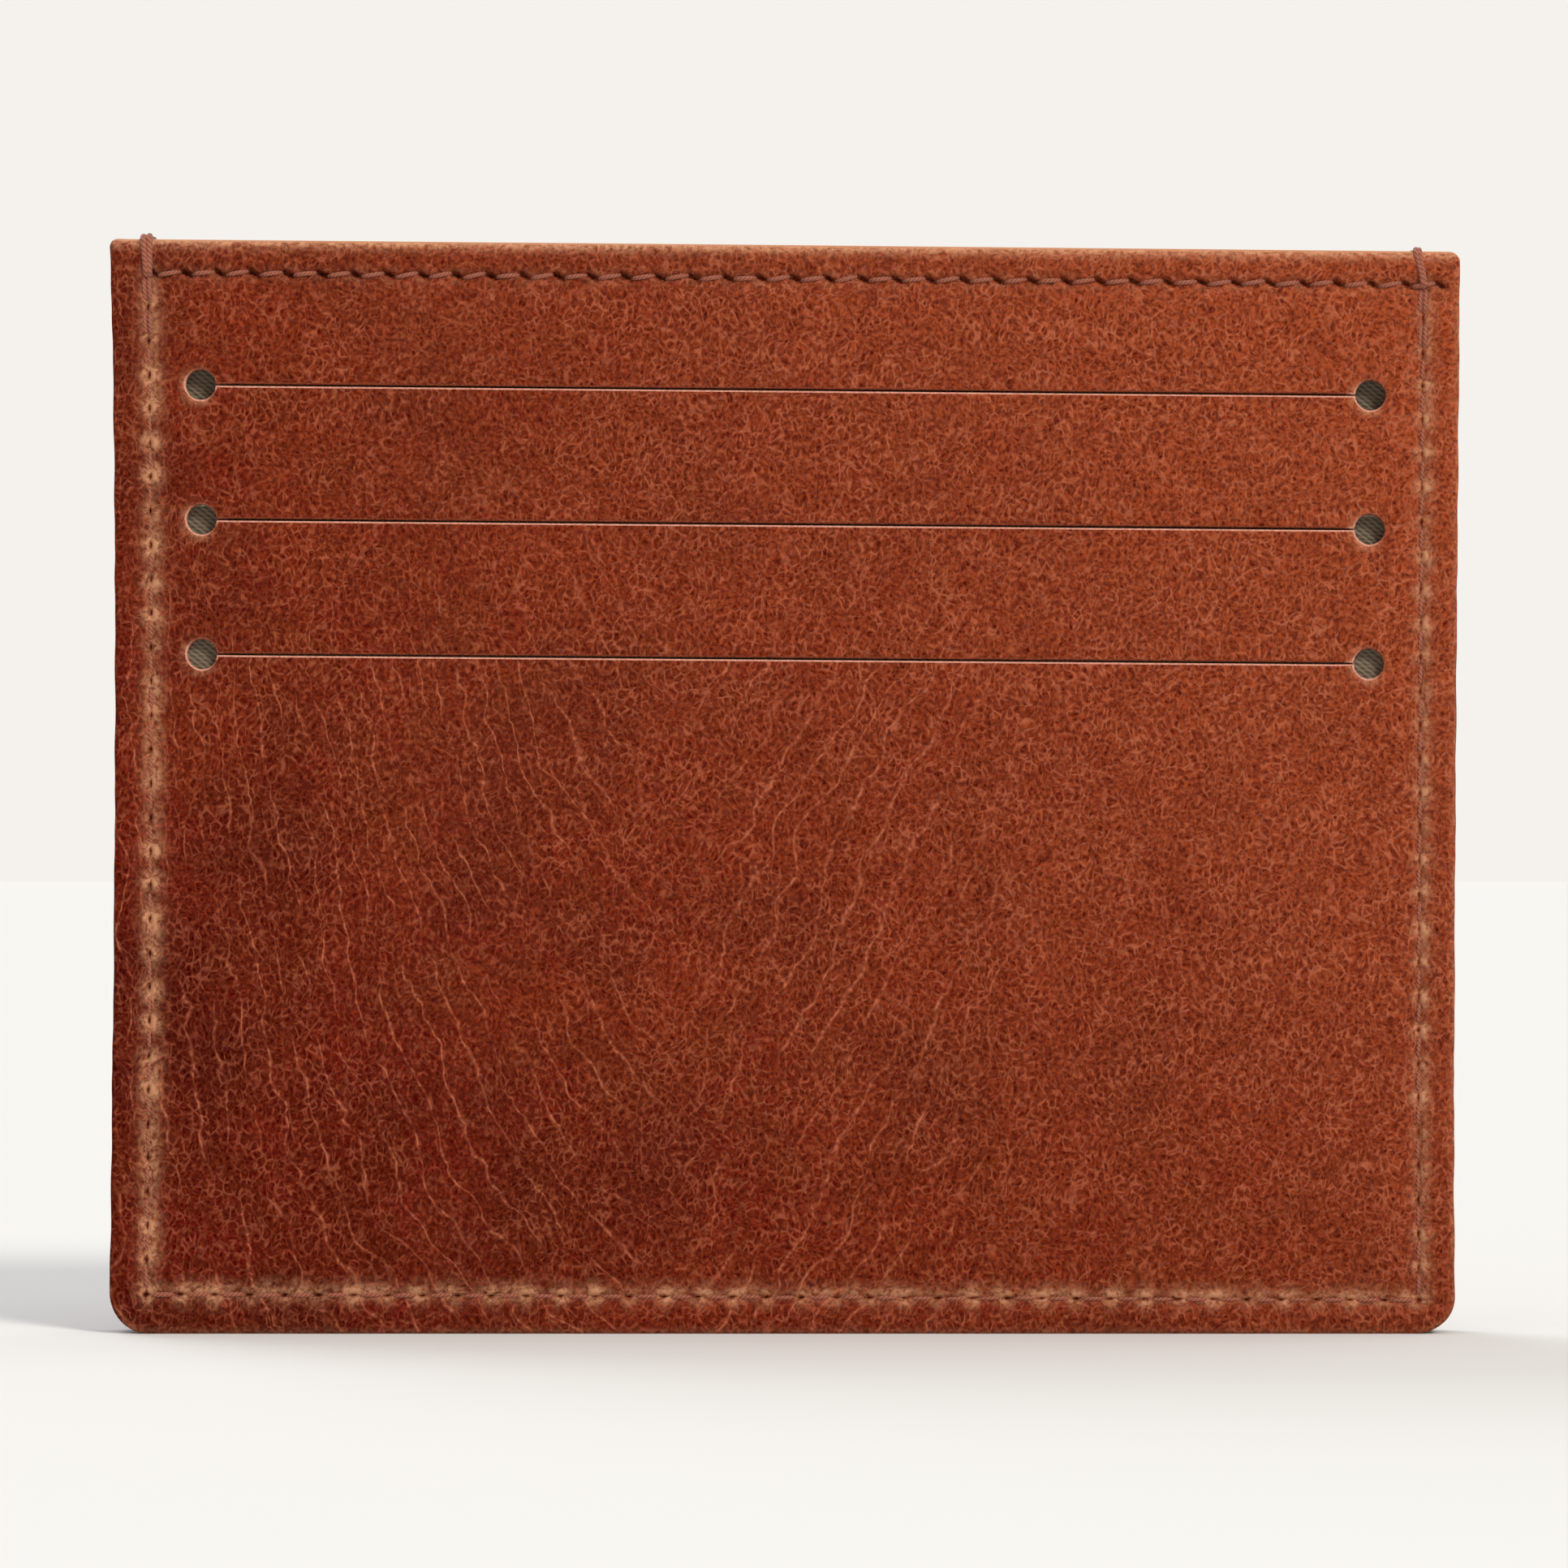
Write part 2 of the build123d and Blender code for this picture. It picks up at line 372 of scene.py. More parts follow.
# %% [markdown]
# ## Finer faces along the seams
#
# The needle pushes the leather down at every hole, and each stitch lies in a little trough of
# its own. Those are a few tenths of a millimetre wide, so only the faces within a millimetre of
# a seam are subdivided, and the rest of the panel stays light.

# %% Seams as lines on the panel
STITCH = 2.53
DRAW = 0.20  # how far a seam pulls the leather in


def seam(name, start, end, **look):
    """A straight seam and its look, in millimetres.

    slant is how far a stitch leans, sink how deep its trough is and bury how deep it lies in
    the trough; spots is how pale the leather is at the needle holes, and band the offset, half
    width and strength of the pale band beside the seam."""
    start, end = np.array(start, float), np.array(end, float)
    length = np.linalg.norm(end - start)
    count = round(length / STITCH)
    along = (end - start) / length
    across = np.array([-along[1], along[0]])
    place = dict(name=name, start=start, along=along, across=across, length=length)
    return dict(place, count=count, pitch=length / count, **look)


LEFT, RIGHT = -SEAM_X, SEAM_X
LOW, TOP = SEAM_INSET, MOUTH_SEAM_Z
seams = [
    seam("left", (LEFT, LOW), (LEFT, TOP),
         slant=0.10, sink=0.18, bury=0.20, spots=1.0, band=(-0.2, 0.70, 0.8)),
    seam("right", (RIGHT, LOW), (RIGHT, TOP),
         slant=-0.12, sink=0.34, bury=0.14, spots=1.1, band=(-0.30, 0.45, 0.6)),
    seam("bottom", (LEFT, LOW), (RIGHT, LOW),
         slant=0.10, sink=0.22, bury=0.15, spots=0.9, band=(0.35, 0.50, 0.9)),
    seam("mouth", (LEFT + 0.4, TOP), (RIGHT + 1.3, TOP),
         slant=0.34, sink=0.24, bury=0.0, spots=0.25, band=(0, 0.5, 0.1)),
]
for row in seams:
    print(row["name"], "seam:", row["count"], "stitches of", round(row["pitch"], 3), "mm")


def seam_place(row, x, z):
    """How far along a seam a point is, how far beside it, and how far past its ends."""
    dx, dz = x - row["start"][0], z - row["start"][1]
    s = dx * row["along"][0] + dz * row["along"][1]
    t = dx * row["across"][0] + dz * row["across"][1]
    beyond = np.maximum(np.maximum(-s, s - row["length"]), 0)
    return s, t, beyond


def from_hole(row, s):
    """How far a place along a seam is from the nearest needle hole."""
    phase = s / row["pitch"]
    return (phase - np.floor(phase + 0.5)) * row["pitch"]


def turned_needle(along_hole, t):
    """Along and across the slanted slot that the wide needle of the mouth seam leaves."""
    return 0.86 * along_hole - 0.51 * t, 0.51 * along_hole + 0.86 * t


centre, normal = face_facts(front_panel)
band = np.zeros(len(centre), dtype=bool)
for row in seams:
    _, t, beyond = seam_place(row, centre[:, 0], centre[:, 2])
    band |= (np.abs(t) < 0.9) & (beyond < 0.9)
select(front_panel, "FACE", band & (normal[:, 1] < -0.99))
bpy.ops.mesh.subdivide(number_cuts=3)
leave_edit_mode()
print("panel with fine seams:", triangles(front_panel), "triangles")

# %% [markdown]
# ## Shaping the leather
#
# Now every point of the grain side is pushed in or out by a rule. The panel swells between its
# seams, is drawn in along them, and rolls over at its border. Each stitch has a trough, and the
# leather stands up again as a small saddle at every needle hole. The mouth row was sewn with a
# wider needle, which leaves slanted slots. A slit's lips curl in a little.

# %% Rules for the grain side
def outline_depth(x, z):
    """How far inside the outline a point lies."""
    ax = WIDTH / 2 - np.abs(x)
    radius = np.where(z < HEIGHT / 2, BOTTOM_CORNER, TOP_CORNER)
    az = np.minimum(z, HEIGHT - z)
    in_corner = (ax < radius) & (az < radius)
    round_depth = radius - np.hypot(radius - ax, radius - az)
    return np.where(in_corner, round_depth, np.minimum(ax, az))


def stitch_relief(row, x, z):
    """The push of one seam on the leather: its draw, its troughs and its needle holes."""
    s, t, beyond = seam_place(row, x, z)
    ends = hump(beyond, 0.5)
    along_hole = from_hole(row, s)
    step = along_hole / row["pitch"]  # 0 at a needle hole, half way at +-0.5
    draw = -DRAW * hump(t, 1.3) * hump(beyond, 1.0)
    trough_at = 2 * row["slant"] * step - np.sign(step) * row["slant"]
    in_stitch = smoothstep(np.abs(along_hole), 0.20, 0.45)
    trough = -row["sink"] * hump(t - 0.5 * trough_at, 0.34) * in_stitch
    saddle = 0.07 * hump(along_hole, 0.32) * hump(t, 0.55)
    if row["name"] == "mouth":
        a, b = turned_needle(along_hole, t)
        hole = -0.80 * hump(a, 0.52, 4) * hump(b, 0.21, 4)
        lip = 0.09 * hump(along_hole + 0.2, 0.4) * hump(t + 0.36, 0.2)
        return draw + (trough + hole + lip) * ends
    pins = -0.5 * hump(along_hole, 0.34) * hump(t, 0.16)
    return draw + (trough + saddle + pins) * ends


def slit_relief(x, z):
    """Lips of the slits: the upper one curls in, the lower one stands a little proud."""
    push = 0
    reach = 1 - smoothstep(np.abs(x), SLIT_END - 3, SLIT_END + 1.5)
    for height in SLIT_HEIGHTS:
        above = z - height
        push = push - 0.13 * np.exp(-np.clip(above, 0, 99) / 0.9) * (above > 0) * reach
        push = push + 0.05 * np.exp(np.clip(above, -99, 0) / 2.5) * (above <= 0) * reach
        ring = np.hypot(np.abs(x) - SLIT_END, above) - HOLE_RADIUS
        push = push - 0.08 * np.exp(-np.clip(ring, 0, 99) / 0.5)
    return push


def grain_push(x, z):
    depth = outline_depth(x, z)
    roll = -0.26 * (1 - np.clip(depth / 1.1, 0, 1)) ** 2
    mouth_roll = -0.30 * (1 - np.clip((HEIGHT - z) / 0.9, 0, 1)) ** 2
    hide = 0.025 * np.sin(x / 1.9 + 2 * np.sin(z / 5.3)) * np.sin(z / 2.6 + 1.5 * np.sin(x / 7.1))
    relief = sum(stitch_relief(row, x, z) for row in seams)
    return roll + mouth_roll + hide + np.maximum(relief, -0.8) + slit_relief(x, z)


# %% Push the grain side of the front panel
def shape_panel(panel, side):
    points = read_points(panel)
    x, z = points[:, 0] * -side, points[:, 2]
    skin = np.clip((np.abs(points[:, 1]) - PANEL_AT) / LEATHER, 0, 1)
    out = swell(x, z) + skin * grain_push(x, z)
    points[:, 1] += side * out
    write_points(panel, points)
    return out


def paint(piece, name, values):
    """Stores one number for each point of a mesh, for its material to read."""
    layer = piece.data.attributes.new(name, "FLOAT", "POINT")
    layer.data.foreach_set("value", np.asarray(values, dtype=np.float32))


flat = read_points(front_panel)
x, z = flat[:, 0], flat[:, 2]
push = shape_panel(front_panel, -1)
print("the leather moved by", push.min().round(2), "to", push.max().round(2), "mm")

# %% [markdown]
# Waxed leather turns pale wherever it is bent or rubbed, because the wax moves away from there.
# That wear is stored with the points: strongest round the needle holes, weaker along the seams
# and the rolled border, though the left border is kept dark as painted shade. The same number
# carries more painted light: below 0 it is painted shade inside the needle holes, and it adds a
# painted highlight on the mouth's edge, on top of its wear, and on the lower left of each punched
# hole, which faces the lamp. A second number paints light on the cuts: the lower lip of a slit
# and the lower left of a punched hole get a painted highlight, paler than the dyed outer edge,
# and the upper lips, which face away from the lamp, get a painted shade.

# %% Wear, painted light and shade, and cut edges
wear_and_painted_light = np.zeros(len(flat))
on_seams = [(row, *seam_place(row, x, z)) for row in seams]
for row, s, t, beyond in on_seams:
    uneven = 0.62 + 0.38 * np.sin(1.7 * s + 2 * np.sin(0.6 * s + row["slant"]))
    spots = hump(from_hole(row, s), 0.6) * hump(t + 0.1, 0.6) * (0.5 + 0.5 * uneven)
    offset, half_width, strength = row["band"]
    band = strength * hump(t - offset, half_width) * uneven
    wear_and_painted_light = np.maximum(wear_and_painted_light, (row["spots"] * spots + band) * hump(beyond, 0.6))
for row, s, t, beyond in on_seams:  # below 0 is painted shade: the dark inside of a needle hole
    step = from_hole(row, s)
    inside = 0.6 * hump(step, 0.26) * hump(t, 0.12)
    if row["name"] == "mouth":
        a, b = turned_needle(step, t)
        inside = 0.85 * hump(a, 0.38, 4) * hump(b, 0.15, 4)
    inside *= beyond < 0.3
    wear_and_painted_light = wear_and_painted_light * (1 - inside) - inside
# the mouth's edge is paler: partly rubbed wax, partly painted highlight where the light from above
# catches it
mouth_wear_and_highlight = 1.2 * hump(HEIGHT - z, 0.55)
# the rolled border is paler from rubbing, but not on the left side, which stays dark as painted
# shade
border_wear_shaded_left = 0.3 * hump(outline_depth(x, z), 0.35) * (x > -49)
# painted light on the cuts: +1 is painted highlight on a slit's lower lip, -1 painted shade on its
# upper lip
cut_light_and_shade = np.zeros(len(flat))
for height in SLIT_HEIGHTS:
    above = z - height
    on_slit = (np.abs(x) < SLIT_END) & (np.abs(above) < 0.4)
    cut_light_and_shade += on_slit * np.where(above > 0, -1.0, 1.0)
    for end in (-SLIT_END, SLIT_END):  # painted highlight on the lower left of each hole, which faces the lamp
        away = np.hypot(x - end, above)
        lower_left = (-0.75 * (x - end) - 0.66 * above) / (away + 0.01)
        painted_rim_highlight = 0.1 + 0.9 * smoothstep(lower_left, -0.3, 0.6)
        wear_and_painted_light += 0.55 * painted_rim_highlight * hump(away - HOLE_RADIUS - 0.15, 0.22)
        cut_light_and_shade = np.maximum(cut_light_and_shade, painted_rim_highlight * (away < HOLE_RADIUS + 0.3) * (away > HOLE_RADIUS - 0.2))
paint(front_panel, "wear_and_painted_light", np.clip(wear_and_painted_light + np.maximum(mouth_wear_and_highlight, border_wear_shaded_left), -1, 1.2))
paint(front_panel, "painted_light_on_cuts", cut_light_and_shade)
only(front_panel)
bpy.ops.object.shade_smooth_by_angle(angle=math.radians(50))
print("front panel:", triangles(front_panel), "triangles")

# %% [markdown]
# ## Linings, tapes and fillers
#
# Behind the leather lie thin cotton sheets, one for each slit, and the tapes and fillers that
# make up their steps. They show in the punched holes, at the mouth and as fine layers along the
# edges. Each one is a grid, rounded at the corners, thickened and then swelled with the
# leather, so that nothing pokes through.

# %% Layers between the panels
def layer(name, outer, thickness, low, high, left=-WIDTH / 2, right=WIDTH / 2, inset=0.0):
    """A flat layer of the front half, or of the middle where outer is half its thickness."""
    step = 2.5
    across = [left + inset, left + 0.6, left + 1.4, left + 2.2, left + 3.0]
    across += spaced(left + 3.0, right - 3.0, step) if right - left > 8 else []
    across += [right - 3.0, right - 2.2, right - 1.4, right - 0.6, right - inset]
    across = sorted({round(place, 4) for place in across})
    up = [low + (inset if low == 0 else 0), low + 0.7, low + 1.5, low + 2.3, low + 3.0]
    up += spaced(low + 3.0, high - 0.5, step) + [high - 0.5, high]
    up = sorted({round(place, 4) for place in up})
    piece, points = upright_grid(name, across, up, outer)
    if low == 0:
        points = round_corners(points, high, top=0)
    write_points(piece, points)
    thicken(piece, thickness)
    return piece


def swell_layer(piece):
    points = read_points(piece)
    points[:, 1] -= swell(points[:, 0], points[:, 2])
    write_points(piece, points)


LINING_TOP = HEIGHT - 0.5
BOND = 3.6  # glued height above a slit
lower_top = SLIT_HEIGHTS[0] + 1.0 + BOND
middle_top = SLIT_HEIGHTS[1] + 1.0 + BOND
middle_low = SLIT_HEIGHTS[1] - 48.0 - BOND / 2
stay_low = SLIT_HEIGHTS[2] + 1.0 + BOND
EDGE_STEP = 0.12  # how far the cotton ends behind the leather's edge
front_layers = {}
for node, name, outer, thickness, low, high in (
    ("lower_slot_lining", "lower_cotton", PANEL_AT, LINING, 0, lower_top),
    ("middle_slot_lining", "middle_cotton", LOWER_LINING_AT, LINING, middle_low, middle_top),
    ("upper_slot_lining", "upper_cotton", MIDDLE_LINING_AT, LINING, 0, LINING_TOP),
    ("middle_lining_tape", "middle_tape", PANEL_AT, LINING, middle_top - BOND, middle_top),
    ("mouth_stay_tape", "mouth_tape", PANEL_AT, 2 * LINING, stay_low, LINING_TOP),
):
    piece = layer("front_" + name, outer, thickness, low, high, inset=EDGE_STEP)
    swell_layer(piece)
    front_layers["front_" + node] = piece
    print(node, "is", piece.name, "with", triangles(piece), "triangles")

# %% Fillers along the sides and the bottom
FILLER = 3.7
inner = WIDTH / 2 - FILLER
deep = 2 * UPPER_LINING_AT  # fills the room between the two halves
at_side = dict(low=0, high=LINING_TOP, inset=0.06)
fillers = {
    "left_seam_filler": layer("left_filler_strip", deep / 2, deep, right=-inner, **at_side),
    "right_seam_filler": layer("right_filler_strip", deep / 2, deep, left=inner, **at_side),
    "bottom_seam_filler": layer("bottom_filler_strip", deep / 2, deep, 0, FILLER, -inner, inner),
}
for node, piece in fillers.items():
    only(piece)
    edge = piece.modifiers.new("rubbed_edge", "BEVEL")
    edge.width, edge.segments, edge.limit_method = 0.12 * MM, 2, "ANGLE"
    bpy.ops.object.modifier_apply(modifier=edge.name)
    print(node, "has", triangles(piece), "triangles")

# %% [markdown]
# ## One stitch
#
# A stitch is a short length of thread that comes up through one needle hole, lies in its trough
# and goes down through the next. It starts as a straight cylinder, is cut into rings with
# bisect, and its points are laid along that path. The length and the turn round the thread are
# kept as a UV map, because the twist of the plies follows the thread and not the holder.

# %% A straight length of thread
THREAD_RADIUS = 0.17
ROUND = 8


def straight_thread(name, places, radius=THREAD_RADIUS):
    """A cylinder along X with rings at the given places, in millimetres, and a UV map."""
    deselect()
    length = places[-1] - places[0]
    bpy.ops.mesh.primitive_cylinder_add(
        vertices=ROUND, radius=radius * MM, depth=length * MM, rotation=(0, math.pi / 2, 0),
        location=((places[0] + length / 2) * MM, 0, 0),
    )
    thread = bpy.context.object
    thread.name = name
    bpy.ops.object.transform_apply()
    bpy.ops.object.mode_set(mode="EDIT")
    for place in places[1:-1]:
        bpy.ops.mesh.select_all(action="SELECT")
        bpy.ops.mesh.bisect(plane_co=(place * MM, 0, 0), plane_no=(1, 0, 0))
    leave_edit_mode()
    uv = thread.data.uv_layers[0]
    uv.name = "thread_uv"
    for face in thread.data.polygons:
        corners = [thread.data.vertices[i].co for i in face.vertices]
        turns = [math.atan2(c.z, c.y) / (2 * math.pi) % 1 for c in corners]
        if max(turns) - min(turns) > 0.5:
            turns = [turn + 1 if turn < 0.5 else turn for turn in turns]
        for loop, corner, turn in zip(face.loop_indices, corners, turns):
            uv.data[loop].uv = (corner.x / MM, turn)
    bpy.ops.object.shade_smooth_by_angle(angle=math.radians(60))
    return thread


def lay_along(points, path, side):
    """Lays a straight thread along a path of close points; side is the path's sideways axis."""
    steps = np.linalg.norm(np.diff(path, axis=0), axis=1)
    reach = np.concatenate([[0], np.cumsum(steps)])
    where = (points[:, 0] - points[:, 0].min()) / np.ptp(points[:, 0]) * reach[-1]
    middle = np.column_stack([np.interp(where, reach, path[:, i]) for i in range(3)])
    slope = np.gradient(path, reach, axis=0)
    tangent = np.column_stack([np.interp(where, reach, slope[:, i]) for i in range(3)])
    side = np.broadcast_to(np.array(side, float), tangent.shape)
    up = np.cross(tangent, side)
    up /= np.linalg.norm(up, axis=1)[:, None]
    return middle + points[:, 1:2] * side + points[:, 2:3] * up


STITCH_RINGS = np.array([-1, -0.84, -0.62, -0.32, 0, 0.32, 0.62, 0.84, 1])
stitch = straight_thread("one_stitch", list(STITCH_RINGS * 1.75))
print("one stitch has", len(stitch.data.polygons), "faces")

# %% [markdown]
# ## Rows of stitches
#
# Each stitch is a copy of the first with its own mesh, laid between its two holes. Small seeded
# differences in height, slant and place keep the row from looking printed.

# %% Copy a stitch along the seams
chance = np.random.default_rng(7)


def stitch_path(row, slant, lift=0.0, drop=0.85):
    """The thread's middle between two needle holes, measured from the drawn face of the panel."""
    low = THREAD_RADIUS - DRAW - row["sink"] - row["bury"]
    shy = 0.42 if row["name"] == "mouth" else 0.16  # how far from the middle of its holes
    w = np.linspace(-1, 1, 41)
    s = row["pitch"] / 2 + (row["pitch"] / 2 - shy) * (1.25 * w - 0.25 * w**3)
    return np.column_stack([s, 0.5 * slant * w, low + lift - drop * np.abs(w) ** 3])


def sew(name, row, numbers, face_at=OUTER_AT, inward=False, aside=0.0, lift=0.0):
    """Copies the stitch to the given places of a seam, and returns the copies."""
    copies = []
    for number in numbers:
        copy = stitch.copy()
        copy.data = stitch.data.copy()
        bpy.context.collection.objects.link(copy)
        wobble = chance.normal(0, 1, 3)
        path = stitch_path(row, row["slant"] * (1 + 0.3 * wobble[0]), lift)
        path[:, 1] += aside + 0.02 * wobble[1]
        path[:, 2] += 0.015 * wobble[2]
        local = lay_along(read_points(stitch), path, (0, 1, 0))
        s = row["pitch"] * number + local[:, 0]
        t, h = local[:, 1], local[:, 2]
        if inward:  # on the pocket's side of the lining: turned round, and facing +Y
            s = row["pitch"] * (2 * number + 1) - s
        x = row["start"][0] + row["along"][0] * s + row["across"][0] * t
        z = row["start"][1] + row["along"][1] * s + row["across"][1] * t
        y = -face_at - swell(x, z) + (h if inward else -h)
        write_points(copy, np.column_stack([x, y, z]))
        copies.append(copy)
    return copies


def join(name, copies):
    only(copies[0])
    for copy in copies:
        copy.select_set(True)
    bpy.ops.object.join()
    copies[0].name = name
    return copies[0]


by_name = {row["name"]: row for row in seams}
around_stitches = []
for row in seams[:3]:
    around_stitches += sew(row["name"], row, range(row["count"]))
for name in ("left", "right"):  # the last two stitches are sewn over twice
    row = by_name[name]
    last = range(row["count"] - 2, row["count"])
    around_stitches += sew(name, row, last, aside=0.22, lift=0.12)
    around_stitches += sew(name, row, last, aside=-0.16, lift=0.16)
mouth = by_name["mouth"]
perimeter_front = join("perimeter_stitches_front", around_stitches)
mouth_front = join("mouth_stitches_front", sew("mouth", mouth, range(mouth["count"])))
LOOP_LIFT = DRAW + mouth["sink"] - THREAD_RADIUS + 0.02  # the lower thread lies on the lining
inside = sew("mouth", mouth, range(mouth["count"]), UPPER_LINING_AT, inward=True, lift=LOOP_LIFT)
mouth_inside = join("mouth_loops_front", inside)
print("stitches round the sides:", triangles(perimeter_front), "triangles")

# %% [markdown]
# At the mouth both side seams end in a wrap: the thread goes over the edge twice and locks the
# two halves together. It takes the most pull, so it lies thick and tight.

# %% Wraps over the mouth's edge
def wrap_path(x_low, x_top, rise):
    """Over the mouth's edge, from the front needle hole to the back one."""
    half = OUTER_AT - 0.12
    corner = 0.7
    top = HEIGHT + rise
    turn = np.linspace(0, math.pi / 2, 9)
    front_up = [(-half, z) for z in np.linspace(MOUTH_SEAM_Z - 0.5, top - corner, 9)]
    front_up[0] = (-half + 0.7, MOUTH_SEAM_Z - 0.2)
    front_up[1] = (-half + 0.12, MOUTH_SEAM_Z - 0.05)
    arc = [
        (-half + corner * (1 - math.cos(a)), top - corner * (1 - math.sin(a))) for a in turn
    ]
    flat_top = [(y, top - 0.18 * (1 - (y / half) ** 2)) for y in np.linspace(-half + corner, 0, 6)]
    front = np.array(front_up + arc[1:] + flat_top[1:])
    back = front[-2::-1] * (-1, 1)
    path = np.vstack([front, back])
    x = x_low + (x_top - x_low) * smoothstep(path[:, 1], MOUTH_SEAM_Z, top)
    return np.column_stack([np.where(path[:, 0] > 0, 2 * x_top - x, x), path])


wraps = []
for x_low, x_top, rise, radius in (
    (LEFT - 0.06, LEFT - 0.20, 0.18, 0.26), (LEFT + 0.14, LEFT + 0.24, 0.24, 0.26),
    (RIGHT - 0.06, RIGHT - 0.56, 0.16, 0.20), (RIGHT + 0.06, RIGHT - 0.30, 0.12, 0.20),
):
    path = wrap_path(x_low, x_top, rise)
    wrap = straight_thread("wrap", list(np.linspace(0, 11.4, 32)), radius)
    write_points(wrap, lay_along(read_points(wrap), path, (-1, 0, 0)))
    wraps.append(wrap)
print("wraps:", len(wraps), "of", triangles(wraps[0]), "triangles")

# %% [markdown]
# ## The back half
#
# The back is made like the front, so every piece of the front half is copied and given half a
# turn about the upright axis. The turn is applied, because each object stays at the origin.

# %% Turn copies to the back
def back_copy(piece, name):
    only(piece)
    bpy.ops.object.duplicate()
    copy = bpy.context.object
    copy.name = name
    copy.rotation_euler = (0, 0, math.pi)
    bpy.ops.object.transform_apply()
    return copy


pieces = {"front_panel": front_panel, **front_layers}
pieces["front_mouth_needle_thread"] = mouth_front
pieces["front_mouth_bobbin_thread"] = mouth_inside
for node in list(pieces):
    copy_name = pieces[node].name.replace("front", "back")
    pieces[node.replace("front", "back")] = back_copy(pieces[node], copy_name)
pieces["perimeter_bobbin_thread"] = back_copy(perimeter_front, "perimeter_stitches_back")
pieces["perimeter_needle_thread"] = join("perimeter_stitches_front", [perimeter_front, *wraps])
pieces.update(fillers)
bpy.data.objects.remove(stitch)
for piece in pieces.values():
    write_points(piece, hand_cut(read_points(piece)))
count = sum(triangles(piece) for piece in pieces.values())
print(len(pieces), "pieces,", count, "triangles in all")

# %% [markdown]
# ## Finishes
#
# Every colour is given as a paint chart's hex value and turned to linear light once. One helper
# adds a node, sets its values and links its inputs, so that a material reads as a list of
# steps. All the helpers work on `tree`, the node tree of the material being made.

# %% Helpers for materials
def linear(hex_colour):
    """sRGB hex to the linear colour that the renderer works with."""
    parts = [int(hex_colour[i : i + 2], 16) / 255 for i in (1, 3, 5)]
    return (*[c / 12.92 if c <= 0.04045 else ((c + 0.055) / 1.055) ** 2.4 for c in parts], 1.0)


def add(kind, settings=None, links=None):
    """Adds one node. Names that are inputs get values, other names are the node's own settings."""
    node = tree.nodes.new("ShaderNode" + kind)
    for key, value in (settings or {}).items():
        if isinstance(key, str) and hasattr(node, key):
            setattr(node, key, value)
        else:
            node.inputs[key].default_value = value
    for key, source in (links or {}).items():
        tree.links.new(source, node.inputs[key])
    return node


def new_material(name, roughness, specular=0.5, sheen=0.0):
    """A new material, with its node tree and its shader."""
    material = bpy.data.materials.new(name)
    material.use_nodes = True
    shader = material.node_tree.nodes["Principled BSDF"]
    shader.inputs["Roughness"].default_value = roughness
    shader.inputs["Specular IOR Level"].default_value = specular
    shader.inputs["Sheen Weight"].default_value = sheen
    return material, material.node_tree, shader


def millimetres():
    """Object coordinates in millimetres, so that patterns keep their real size."""
    place = add("TexCoord").outputs["Object"]
    return add("VectorMath", {"operation": "SCALE", "Scale": 1 / MM}, {0: place}).outputs[0]


def dress(colour, height, strength, depth):
    """Gives the shader its colour and a bump of up to depth millimetres."""
    tree.links.new(colour, shader.inputs["Base Color"])
    bump = add("Bump", {"Strength": strength, "Distance": depth * MM}, {"Height": height})
    tree.links.new(bump.outputs[0], shader.inputs["Normal"])


def plug(socket, value):
    """Gives an input a hex colour, a number or the output of another node."""
    if isinstance(value, (int, float)):
        socket.default_value = value
    elif isinstance(value, str):
        socket.default_value = linear(value)
    else:
        tree.links.new(value, socket)


def blend(factor, low, high):
    """Mixes two colours."""
    node = add("Mix", {"data_type": "RGBA"})
    for index, value in ((0, factor), (6, low), (7, high)):
        plug(node.inputs[index], value)
    return node.outputs[2]


def levels(value, low, high, to_low=0.0, to_high=1.0):
    """Stretches the part of a value between low and high over a new range."""
    settings = {"From Min": low, "From Max": high, "To Min": to_low, "To Max": to_high}
    return add("MapRange", settings, {"Value": value}).outputs[0]


def maths(how, first, second=0):
    node = add("Math", {"operation": how})
    plug(node.inputs[0], first)
    plug(node.inputs[1], second)
    return node.outputs[0]


def times(first, second):
    return maths("MULTIPLY", first, second)


def noise(where, size, detail=2.0, rough=0.5, offset=(0, 0, 0), stretch=(1, 1, 1), output=0):
    """Noise whose blotches are about size millimetres."""
    mapping = {"Location": offset, "Scale": stretch}
    mapped = add("Mapping", mapping, {"Vector": where})
    settings = {"Scale": 1 / size, "Detail": detail, "Roughness": rough}
    return add("TexNoise", settings, {"Vector": mapped.outputs[0]}).outputs[output]


# %% [markdown]
# ### Waxed pull-up cowhide
#
# Pull-up leather is dyed through and stuffed with hot wax. Three things make it look so: the
# pebbles of the grain, half a millimetre across, dark in the middle and paler in the creases
# between them, partly their own tone and partly painted sheen; long growth lines, where the hide
# stretched; and broad clouds, where the wax lies thicker. Where it is bent or rubbed it turns to
# a pale tan.

# %% Waxed pull-up cowhide
leather, tree, shader = new_material("waxed_pull_up_cowhide", roughness=0.5, specular=0.02)
mm = millimetres()


def wander(where, size, reach, offset=(0, 0, 0)):
    """Shifts a place by up to about reach millimetres, differently every size millimetres."""
    shift = noise(where, size, detail=1, offset=offset, output="Color")
    shift = add("VectorMath", {"operation": "SUBTRACT", 1: (0.5, 0.5, 0.5)}, {0: shift}).outputs[0]
    shift = add("VectorMath", {"operation": "SCALE", "Scale": 2 * reach}, {0: shift}).outputs[0]
    return add("VectorMath", {"operation": "ADD"}, {0: where, 1: shift}).outputs[0]


